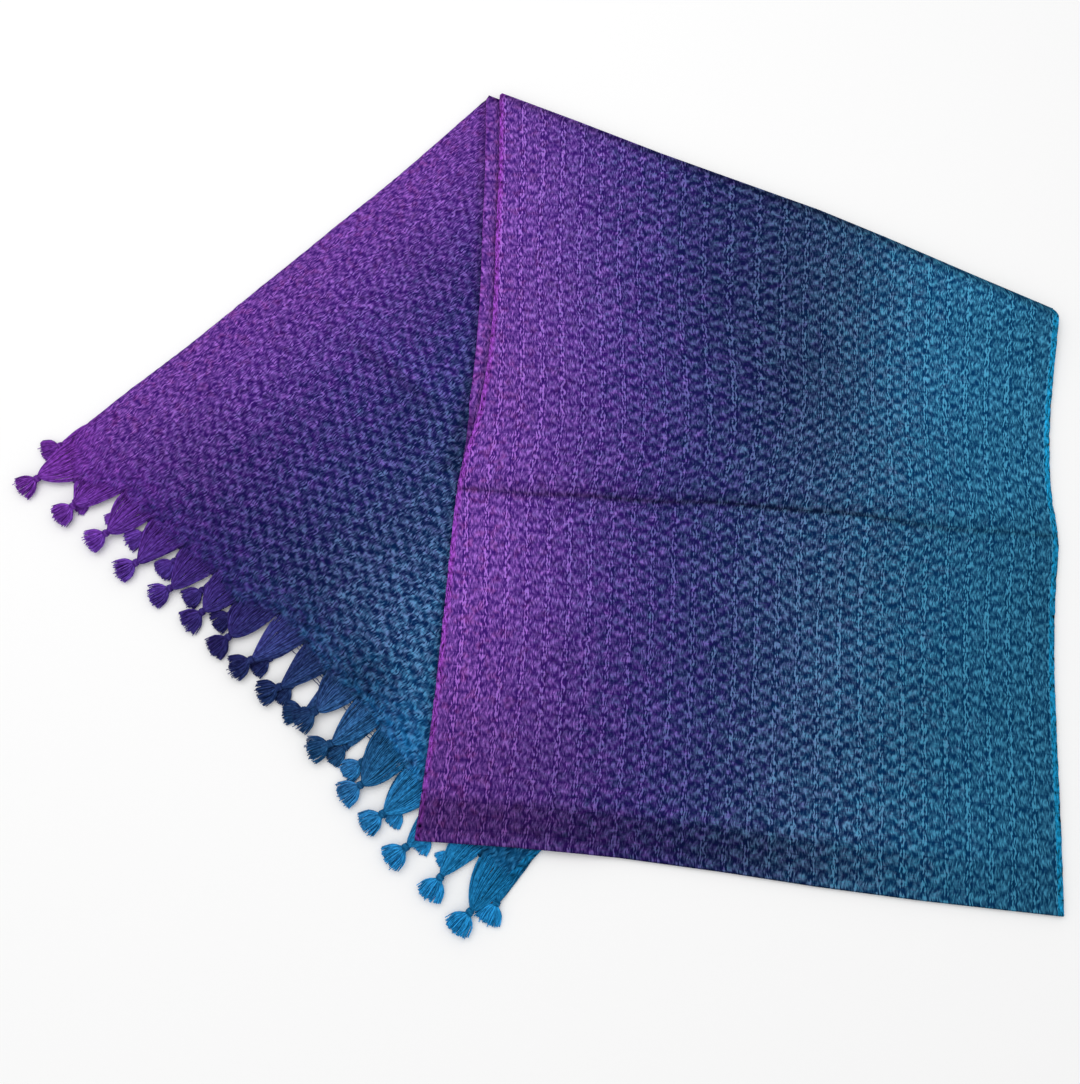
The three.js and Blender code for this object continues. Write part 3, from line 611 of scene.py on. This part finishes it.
# Turns the yarns into a mesh that knows each yarn's tone, number, place across the cloth and run
def yarnsToMesh(name, yarns, threads):
    yarns.dimensions = "3D"
    yarns.bevel_depth = 1.0
    yarns.bevel_resolution = 1
    source = bpy.data.objects.new(name + "Source", yarns)
    bpy.context.scene.collection.objects.link(source)
    bpy.context.view_layer.update()
    mesh = bpy.data.meshes.new_from_object(source.evaluated_get(bpy.context.evaluated_depsgraph_get()))
    bpy.data.objects.remove(source)
    tubes = bmesh.new()
    tubes.from_mesh(mesh)
    bmesh.ops.holes_fill(tubes, edges=[edge for edge in tubes.edges if edge.is_boundary])
    bmesh.ops.recalc_face_normals(tubes, faces=tubes.faces)
    tubes.to_mesh(mesh)
    tubes.free()
    ring = len(mesh.vertices) // sum(len(distances) for distances, _, _ in threads)
    sizes = [len(distances) * ring for distances, _, _ in threads]
    facts = {
        "yarnTone": np.repeat([tone for _, tone, _ in threads], sizes),
        "acrossCloth": np.repeat([across for _, _, across in threads], sizes),
        "yarnNumber": np.repeat(np.arange(len(threads)), sizes),
        "alongYarn": np.repeat(np.concatenate([distances for distances, _, _ in threads]), ring),
    }
    for key, values in facts.items():
        mesh.attributes.new(key, "FLOAT", "POINT").data.foreach_set("value", values.astype(np.float32))
    mesh.polygons.foreach_set("use_smooth", [True] * len(mesh.polygons))
    mesh.name = name
    return mesh


def buildTassel(name, left, right, knotSpot, brushSpot, poseName, across, looseWeft=0):
    pose, form = tasselPoses[poseName], tasselForm
    knot, run = flat(knotSpot), (flat(brushSpot) - flat(knotSpot)).normalized()
    side = Vector((-run.y, run.x, 0))
    rootMiddle, rootHalf = (left + right) / 2, (right - left) / 2
    if side.dot(rootHalf) < 0:
        side = -side
    start = rootMiddle + legRun * form["rootInset"]
    bend = rootMiddle.lerp(knot, form["bendAt"]) - legRun * form["bendSag"] * (knot - rootMiddle).length
    neck = knot - run * form["knotLength"] * form["neckAt"]
    widths = list(zip(*form["bodyWidth"]))
    threads, yarns = [], bpy.data.curves.new(name + "Yarns", "CURVE")
    halfShare = 0.5 / (len(notches) - 1)
    fullness = dice.uniform(-0.05, 0.08)
    bodyLevel, brushLevel = (tableAt(form[level], across) for level in ("bodyLevels", "brushLevels"))

    def bodyPoint(along, lateral, layer):
        centre = start.lerp(bend, along).lerp(bend.lerp(neck, along), along)
        width = float(np.interp(along, *widths)) + fullness * math.sin(math.pi * along)
        direction = rootHalf.lerp(side * rootHalf.length, along)
        p = centre + direction * lateral * width
        thick = mix(form["flatHeight"], 0.45 * pose["knotHeight"], smoothStep(along, 0.25, 1))
        base = mix(pose["root"], pose["middle"], smoothStep(along, 0, 0.3))
        base = mix(base, pose["knot"], smoothStep(along, 0.75, 1))
        p.z = base + layer * thick * math.sqrt(max(0, 1 - lateral * lateral))
        return p

    for layer, count in ((1, form["topYarns"]), (-0.7, form["lowYarns"])):
        for index in range(count):
            lateral = mix(-0.97, 0.97, index / (count - 1)) + dice.uniform(-0.02, 0.02)
            lateral = min(0.985, max(-0.985, lateral))
            drift, radius = dice.uniform(-0.05, 0.05), form["yarnRadius"] * dice.uniform(0.85, 1.15)
            radius = min(radius, 0.45 * pose["knotHeight"])
            ragged = dice.uniform(0, form["ragged"]) if layer > 0 else 0
            points = []
            for step in range(form["bodySteps"] + 1):
                along = step / form["bodySteps"]
                p = bodyPoint(along, lateral + drift * math.sin(math.pi * along), layer)
                p += legRun * ragged * (1 - smoothStep(along, 0, 0.3))
                p.z = max(p.z + dice.uniform(-0.12, 0.12), radius + form["clearance"])
                points.append(p)
            tone = bodyLevel * (0.5 if dice.random() < 0.2 else dice.uniform(0.75, 1.3))
            threads.append((addYarn(yarns, points, radius, 0.7, 0.35), tone, across + lateral * halfShare))

    # Weft threads that cross the gap to the next tassel
    for index in range(looseWeft):
        away = form["weftStart"] + form["weftStep"] * index + dice.uniform(-0.8, 0.8)
        reach = 3.0 + 0.45 * away
        middle = right - legRun * away
        points = [middle + legOut * reach * step / 3 + legRun * dice.uniform(-0.5, 0.5) for step in range(-3, 4)]
        for p in points:
            p.z = pose["root"] + 0.2
        threads.append((addYarn(yarns, points, form["weftRadius"]), form["weftTone"], across))

    # The knot's wraps, slightly slanting
    slant = dice.uniform(-0.5, 0.5)
    wraps = []
    steps = form["wrapTurns"] * form["turnSteps"]
    wrapRadius = min(form["wrapRadius"], 0.22 * pose["knotHeight"] + 0.2)
    for step in range(steps + 1):
        turn = 2 * math.pi * step / form["turnSteps"]
        share = step / steps
        swell = 0.72 + 0.28 * math.sin(math.pi * share)
        centre = knot + run * (share - 0.5) * form["knotLength"]
        p = centre + side * math.cos(turn) * form["knotWidth"] * swell + run * slant * math.cos(turn)
        height = pose["knot"] + math.sin(turn) * pose["knotHeight"] * form["wrapHeight"] * swell
        p.z = max(height, wrapRadius + form["clearance"])
        wraps.append(p)
    threads.append((addYarn(yarns, wraps, wrapRadius), form["wrapTone"], across))

    # The brush, full and slightly ragged at its end
    brushWidths = list(zip(*form["brushWidth"]))
    for index in range(form["brushStrands"]):
        lateral = dice.uniform(-1, 1)
        layer = dice.uniform(-1, 1) * math.sqrt(1 - 0.75 * lateral * lateral)
        length = pose["reach"] * (1 - 0.2 * lateral * lateral) * dice.uniform(0.86, 1.0)
        if dice.random() < form["longShare"]:
            length *= form["longLength"]
        wander = dice.uniform(-form["wander"], form["wander"])
        points = []
        for step in range(form["strandSteps"] + 1):
            along = step / form["strandSteps"]
            width = float(np.interp(along, *brushWidths)) * pose["reach"] / form["fullReach"]
            p = knot + run * (form["brushStart"] + length * along) + side * (lateral * width + wander * along * along)
            middle = mix(pose["knot"], (pose["brushLow"] + pose["brushHigh"]) / 2, smoothStep(along, 0, 0.5))
            spread = mix(0.3 * pose["knotHeight"], (pose["brushHigh"] - pose["brushLow"]) / 2, along)
            height = middle + layer * spread - form["brushDroop"] * along * along
            p.z = max(height, form["strandRadius"] + 2 * form["clearance"])
            points.append(p)
        tone = brushLevel * dice.uniform(0.6, 1.15)
        threads.append((addYarn(yarns, points, form["strandRadius"], 0.6), tone, across + lateral * halfShare))

    tassel = bpy.data.objects.new(name, yarnsToMesh(name, yarns, threads))
    bpy.context.scene.collection.objects.link(tassel)
    return tassel


def newMaterial(name):
    material = bpy.data.materials.new(name)
    material.use_nodes = True
    tree = material.node_tree
    return material, tree, tree.nodes["Principled BSDF"]


# Sets a socket to a value, or links another socket to it
def feed(tree, socket, value):
    if isinstance(value, bpy.types.NodeSocket):
        tree.links.new(value, socket)
    else:
        socket.default_value = value


def addNode(tree, kind, inputs=(), **settings):
    node = tree.nodes.new(kind)
    for key, value in settings.items():
        setattr(node, key, value)
    for index, value in enumerate(inputs):
        feed(tree, node.inputs[index], value)
    return node


def maths(tree, operation, *inputs):
    return addNode(tree, "ShaderNodeMath", inputs, operation=operation).outputs[0]


# Adds up or multiplies any number of values
def chain(tree, operation, *values):
    total = values[0]
    for value in values[1:]:
        total = maths(tree, operation, total, value)
    return total


def fact(tree, name):
    return addNode(tree, "ShaderNodeAttribute", attribute_name=name).outputs["Fac"]


def noiseNode(tree, spot, scale, detail):
    node = addNode(tree, "ShaderNodeTexNoise", (spot,))
    node.inputs["Scale"].default_value = scale
    node.inputs["Detail"].default_value = detail
    return node.outputs


# A noise about zero
def grain(tree, spot, scale, detail):
    return maths(tree, "SUBTRACT", noiseNode(tree, spot, scale, detail)["Fac"], 0.5)


# Strokes about zero along single threads, each thread with its own
def strokes(tree, thread, onward):
    apart, first = weave["threadsApart"]
    across = maths(tree, "ADD", maths(tree, "MULTIPLY", thread, apart), first)
    along = maths(tree, "DIVIDE", onward, weave["float"])
    return grain(tree, addNode(tree, "ShaderNodeCombineXYZ", (across, along, 0.0)).outputs[0], 1, 0)


def vectorMaths(tree, operation, *inputs):
    return addNode(tree, "ShaderNodeVectorMath", inputs, operation=operation).outputs[0]


def scaled(tree, vector, amount):
    node = addNode(tree, "ShaderNodeVectorMath", (vector,), operation="SCALE")
    feed(tree, node.inputs["Scale"], amount)
    return node.outputs[0]


def blend(tree, factor, first, second):
    mixed = addNode(tree, "ShaderNodeMix", (factor,), data_type="RGBA")
    feed(tree, mixed.inputs[6], first)
    feed(tree, mixed.inputs[7], second)
    return mixed.outputs[2]


def finishMaterial(tree, shader, colour, height, surface):
    tree.links.new(colour, shader.inputs["Base Color"])
    shader.inputs["Roughness"].default_value = 0.85
    shader.inputs["Specular IOR Level"].default_value = surface["specular"]
    bump = addNode(tree, "ShaderNodeBump")
    bump.inputs["Strength"].default_value = surface["bump"]
    bump.inputs["Distance"].default_value = surface["bumpDepth"]
    tree.links.new(height, bump.inputs["Height"])
    tree.links.new(bump.outputs[0], shader.inputs["Normal"])


def toLinear(rgb):
    return tuple(((c / 255 + 0.055) / 1.055) ** 2.4 if c > 10 else c / 255 / 12.92 for c in rgb) + (1,)


def dyeRamp(tree, share, stops):
    ramp = addNode(tree, "ShaderNodeValToRGB", (share,))
    ramp.color_ramp.interpolation = "B_SPLINE"
    elements = ramp.color_ramp.elements
    while len(elements) < len(stops):
        elements.new(0.5)
    for element, (position, rgb) in zip(elements, stops):
        element.position = position
        element.color = toLinear(rgb)
    return ramp.outputs[0]


# The weave in metres, its dyes and how much each of its features lightens it. A feature that comes in
# across the cloth has the shares of the width where it starts and ends, and its values there.
weave = {
    "cellAcross": 0.0171, "cellAlong": 0.0107, "thread": 0.00095, "float": 0.0044, "threadsApart": (3.7, 0.35),
    "ribThread": 0.0028, "ribLean": 0.16, "lean": 0.2, "slowWobble": (70, 0.0012), "quickWobble": (160, 0.0007),
    "broad": (110, 2), "fine": (620, 2), "rib": (0.0014, 0.0032), "row": (0.0002, 0.0009),
    "rowAtRib": (0.001, 0.006), "starAcross": (0.0004, 0.0024), "starAlong": (0.001, 0.0042),
    "purpleBand": 0.0056, "bandStrength": 0.7, "tealBand": 0.4955,
    "base": 0.46, "navyAt": 0.45, "awayFromNavy": 0.14, "lattice": (0.05, 0.4, 0.07, 0.23),
    "latticeFade": (0.72, 0.85, 1.0, 0.6), "ribFloor": -0.15, "ribWave": -0.55, "ribStrokes": 2.6, "ribPatches": 2.5,
    "rows": -0.2, "stars": (0.15, 0.4, 0.1, 0.3), "warp": (0.1, 0.45, 1.6, 1.8), "weft": 0.15, "speckle": 0.5,
    "contrast": 2.0, "stray": 0.36, "weftStray": 0.8, "pinkPatch": (0.02, 0.14, 0.0, 0.24),
    "pinkAcross": (0.04, 0.24, 1.0, 0.0), "plainShade": (0.9, 3.0), "deepShade": (0.85, 2.2), "fringeDye": 0.6,
    "relief": (1.4, 0.3), "rowBase": 0.4, "starBase": 0.7,
    "surface": {"specular": 0.02, "bump": 0.5, "bumpDepth": 0.0008},
    "bandPurple": (146, 64, 180), "bandTeal": (25, 130, 176), "pink": (156, 58, 138),
    "dark": [(0, (60, 28, 114)), (0.13, (60, 22, 115)), (0.3, (31, 20, 89)), (0.42, (16, 22, 76)),
             (0.52, (9, 26, 70)), (0.66, (5, 36, 77)), (0.82, (4, 54, 98)), (1, (2, 50, 86))],
    "light": [(0, (176, 110, 220)), (0.13, (164, 116, 216)), (0.3, (113, 101, 183)), (0.42, (88, 94, 156)),
              (0.52, (94, 116, 166)), (0.66, (94, 140, 180)), (0.82, (70, 156, 194)), (1, (66, 142, 178))],
}


# The deeper dye of the tassels
tasselDye = [
    (0, (124, 50, 162)), (0.15, (104, 50, 158)), (0.27, (74, 48, 140)), (0.41, (48, 42, 110)), (0.53, (38, 54, 110)),
    (0.66, (32, 76, 124)), (0.78, (26, 108, 164)), (1, (20, 120, 176)),
]


def clothMaterial(name, ribStrength, tint):
    material, tree, shader = newMaterial(name)
    plus, times = partial(chain, tree, "ADD"), partial(chain, tree, "MULTIPLY")
    plan = addNode(tree, "ShaderNodeUVMap", uv_map="clothPlan").outputs[0]
    raw = addNode(tree, "ShaderNodeSeparateXYZ", (plan,)).outputs
    share = maths(tree, "DIVIDE", raw[0], cloth["width"])

    # The plan of the cloth, moved about a little by a noise
    def moved(scale, amount):
        shift = vectorMaths(tree, "SUBTRACT", noiseNode(tree, plan, scale, 1)["Color"], (0.5, 0.5, 0.5))
        return addNode(tree, "ShaderNodeSeparateXYZ", (
            vectorMaths(tree, "ADD", plan, scaled(tree, shift, amount)),)).outputs

    # Distance from the nearest of some lines at even steps
    def fromLine(spot, step):
        turns = maths(tree, "DIVIDE", spot, step)
        return times(maths(tree, "ABSOLUTE", maths(tree, "SUBTRACT", turns, maths(tree, "ROUND", turns))), step)

    def ramp(value, start, end, low, high):
        return addNode(tree, "ShaderNodeMapRange", (value, start, end, low, high)).outputs[0]

    def within(away, reach):
        return ramp(away, *reach, 1.0, 0.0)

    def wave(spot, length):
        return maths(tree, "COSINE", times(spot, 2 * math.pi / length))

    # Short floats on single threads: each thread is a stripe of its own, uneven along its run
    def floats(sideways, onward):
        return strokes(tree, maths(tree, "FLOOR", maths(tree, "DIVIDE", sideways, weave["thread"])), onward)

    # Threads lean to and fro along their run, and those of the ribs mirror each other
    slow, quick = moved(*weave["slowWobble"]), moved(*weave["quickWobble"])
    fromRib, fromRow = fromLine(quick[0], weave["cellAcross"]), fromLine(quick[1], weave["cellAlong"])
    lean = maths(tree, "PINGPONG", quick[1], weave["cellAlong"] / 2)
    warp = floats(plus(quick[0], times(lean, weave["lean"])), quick[1])
    weft = floats(quick[1], quick[0])
    broad, fine = grain(tree, plan, *weave["broad"]), grain(tree, plan, *weave["fine"])

    # Staggered cells of the weave, ribs of a few leaning threads, and stars where ribs and rows cross
    lattice = times(wave(slow[0], weave["cellAcross"]), wave(slow[1], weave["cellAlong"]), 2.0)
    lattice = maths(tree, "MINIMUM", maths(tree, "MAXIMUM", lattice, -1.0), 1.0)
    latticeStrength = times(ramp(share, *weave["lattice"]), ramp(share, *weave["latticeFade"]))
    ribs = times(wave(plus(fromRib, times(lean, weave["ribLean"])), weave["ribThread"]), weave["ribWave"])
    ribs = times(plus(ribs, times(warp, weave["ribStrokes"]), weave["ribFloor"]), within(fromRib, weave["rib"]))
    rows = times(within(fromRow, weave["row"]), plus(weave["rowBase"], within(fromRib, weave["rowAtRib"])))
    stars = times(within(fromRib, weave["starAcross"]), within(fromRow, weave["starAlong"]))
    stars = times(stars, plus(weave["starBase"], ribs))
    fromNavy = maths(tree, "ABSOLUTE", maths(tree, "SUBTRACT", share, weave["navyAt"]))
    tone = plus(
        weave["base"],
        times(fromNavy, weave["awayFromNavy"]),
        times(lattice, latticeStrength),
        times(ribs, plus(ribStrength, times(broad, weave["ribPatches"] * ribStrength))),
        times(rows, weave["rows"]),
        times(stars, ramp(share, *weave["stars"])),
        times(warp, ramp(share, *weave["warp"])),
        times(weft, weave["weft"]),
        times(fine, weave["speckle"]),
    )
    tone = maths(tree, "POWER", addNode(tree, "ShaderNodeClamp", (tone,)).outputs[0], weave["contrast"])

    # Yarns and small patches take their dye from a little to one side, and some by the purple edge are pink.
    # Both selvedges have plainer bands.
    strayed = plus(share, times(weft, weave["weftStray"] * weave["stray"]), times(broad, weave["stray"]))
    colour = blend(tree, tone, dyeRamp(tree, strayed, weave["dark"]), dyeRamp(tree, strayed, weave["light"]))
    inPink = times(ramp(broad, *weave["pinkPatch"]), ramp(share, *weave["pinkAcross"]))
    fromSelvedge = plus(fact(tree, "fromSelvedge"), maths(tree, "SUBTRACT", quick[0], raw[0]))
    inPurple = times(within(fromSelvedge, (weave["purpleBand"] / 2, weave["purpleBand"])), weave["bandStrength"])
    inTeal = maths(tree, "GREATER_THAN", quick[0], weave["tealBand"])
    plainLevel, plainStrokes = weave["plainShade"]
    plainShade = plus(plainLevel, times(warp, plainStrokes))
    bandShade = plus(plainShade, weft)
    for here, dye, shade in (
            (inPink, "pink", plainShade), (inPurple, "bandPurple", bandShade), (inTeal, "bandTeal", bandShade)):
        colour = blend(tree, here, colour, scaled(tree, toLinear(weave[dye])[:3], shade))

    # Towards the fringe the cloth shows more of the tassels' deeper dye
    deepLevel, deepStrokes = weave["deepShade"]
    deep = scaled(tree, dyeRamp(tree, strayed, tasselDye), plus(deepLevel, times(warp, deepStrokes)))
    colour = blend(tree, times(fact(tree, "nearFringe"), weave["fringeDye"]), colour, deep)
    # The painted shade kept on each sheet darkens the colour here
    colour = scaled(tree, vectorMaths(tree, "MULTIPLY", colour, tint), fact(tree, "paintedShade"))
    warpRelief, cellRelief = weave["relief"]
    relief = plus(times(warp, warpRelief), times(lattice, cellRelief))
    finishMaterial(tree, shader, colour, relief, weave["surface"])
    return material


# How the yarns of the tassels are toned and dyed
yarnDye = {
    "strokes": 1.3, "speckle": 0.9, "speckleSize": (420, 2), "level": (0.4, 0.1), "stray": 0.1, "deep": 0.72,
    "surface": {"specular": 0.03, "bump": 0.3, "bumpDepth": 0.0003},
}


# The yarns of the tassels, dyed as the cloth beside them, with strokes along each yarn
def yarnMaterial(name):
    material, tree, shader = newMaterial(name)
    plus, times = partial(chain, tree, "ADD"), partial(chain, tree, "MULTIPLY")
    yarnTone = fact(tree, "yarnTone")
    strokeTone = times(strokes(tree, fact(tree, "yarnNumber"), fact(tree, "alongYarn")), yarnDye["strokes"])
    spot = addNode(tree, "ShaderNodeTexCoord").outputs["Object"]
    speckle = noiseNode(tree, spot, *yarnDye["speckleSize"])["Fac"]
    speckleTone = times(maths(tree, "SUBTRACT", speckle, 0.5), yarnDye["speckle"])
    gain, floorTone = yarnDye["level"]
    tone = plus(times(yarnTone, gain), floorTone, strokeTone, speckleTone)
    tone = maths(tree, "POWER", addNode(tree, "ShaderNodeClamp", (tone,)).outputs[0], weave["contrast"])
    strayed = plus(fact(tree, "acrossCloth"), times(speckleTone, yarnDye["stray"]))
    woven = blend(tree, tone, dyeRamp(tree, strayed, weave["dark"]), dyeRamp(tree, strayed, weave["light"]))
    deep = scaled(tree, dyeRamp(tree, strayed, tasselDye), times(plus(1.0, strokeTone, speckleTone), yarnTone))
    finishMaterial(tree, shader, blend(tree, yarnDye["deep"], woven, deep), speckle, yarnDye["surface"])
    return material


panelWeave = clothMaterial("panelWeave", 0.78, (1, 1, 1))
legWeave = clothMaterial("legWeave", 0.25, (1.08, 0.99, 1.1))
yarn = yarnMaterial("tasselYarn")

panelFrontCloth = buildPanelFront()
panelInnerCloth = buildPanelInner()
legUpperCloth = buildLegLayer(
    "legUpperCloth", cloth["pitch"], 0, 0, panelInner["foldSetback"] + leg["foldSetback"], 21.0)
legLowerCloth = buildLegLayer(
    "legLowerCloth", 0, cloth["lowerSetback"], cloth["lowerEdgeShift"], leg["lowerFoldSetback"], 27.0)
for piece in (panelFrontCloth, panelInnerCloth, legUpperCloth, legLowerCloth):
    piece.data.materials.append(legWeave if piece in (legUpperCloth, legLowerCloth) else panelWeave)
    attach(piece, "root")
print("cloth made")

tassels = {"front": [], "back": []}
for fringe, rows, setback in (("front", frontTassels, 0), ("back", backTassels, cloth["lowerSetback"])):
    for index, (knotSpot, brushSpot, poseName) in enumerate(rows):
        left, right = (flat(notches[index + step]) + legRun * setback for step in (0, 1))
        number = f"{index + 1:02d}"
        across = (index + 0.5) / len(rows)
        name = f"tassel{fringe.capitalize()}{number}"
        looseWeft = 3 if fringe == "front" and 7 <= index < 11 else 0
        piece = buildTassel(name, left, right, knotSpot, brushSpot, poseName, across, looseWeft)
        piece.data.materials.append(yarn)
        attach(piece, "root")
        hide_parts(f"tassel_{fringe}_{number}")
        tassels[fringe].append(piece)
print("tassels made")

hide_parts("panel_front")
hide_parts("panel_inner_edge", "hidden_layers")
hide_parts("leg_upper")
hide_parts("leg_lower")

# Floor, light and camera
studio = {
    "cameraSpot": (0, -311, 958), "tilt": 18, "lens": 40.2, "key": 7.8, "keySize": 1.6, "keySpot": (-0.5, 0.55, 1.5),
    "fill": 0.83, "floorSize": 6, "floorHeight": -0.0004, "floorTone": 0.96,
}
bpy.ops.mesh.primitive_plane_add(size=studio["floorSize"], location=(0, 0, studio["floorHeight"]))
floor = bpy.context.object
floor.name = "floor"
floorMaterial, _, floorShader = newMaterial("paleFloor")
floorShader.inputs["Base Color"].default_value = (studio["floorTone"],) * 3 + (1,)
floorShader.inputs["Roughness"].default_value = 0.9
floorShader.inputs["Specular IOR Level"].default_value = 0.1
floor.data.materials.append(floorMaterial)
world = bpy.data.worlds.new("studio")
bpy.context.scene.world = world
world.use_nodes = True
world.node_tree.nodes["Background"].inputs[0].default_value = (1, 1, 1, 1)
world.node_tree.nodes["Background"].inputs[1].default_value = studio["fill"]
keyData = bpy.data.lights.new("key", "AREA")
keyData.energy = studio["key"]
keyData.size = studio["keySize"]
key = bpy.data.objects.new("key", keyData)
key.location = studio["keySpot"]
key.rotation_euler = (-key.location).to_track_quat("-Z", "Y").to_euler()
bpy.context.scene.collection.objects.link(key)
cameraData = bpy.data.cameras.new("camera")
cameraData.lens = studio["lens"]
camera = bpy.data.objects.new("camera", cameraData)
camera.location = inModel(Vector(studio["cameraSpot"]))
camera.rotation_euler = (math.radians(studio["tilt"]), 0, 0)
bpy.context.scene.collection.objects.link(camera)
bpy.context.scene.camera = camera
bpy.context.scene.view_settings.view_transform = "Standard"
print("studio ready")
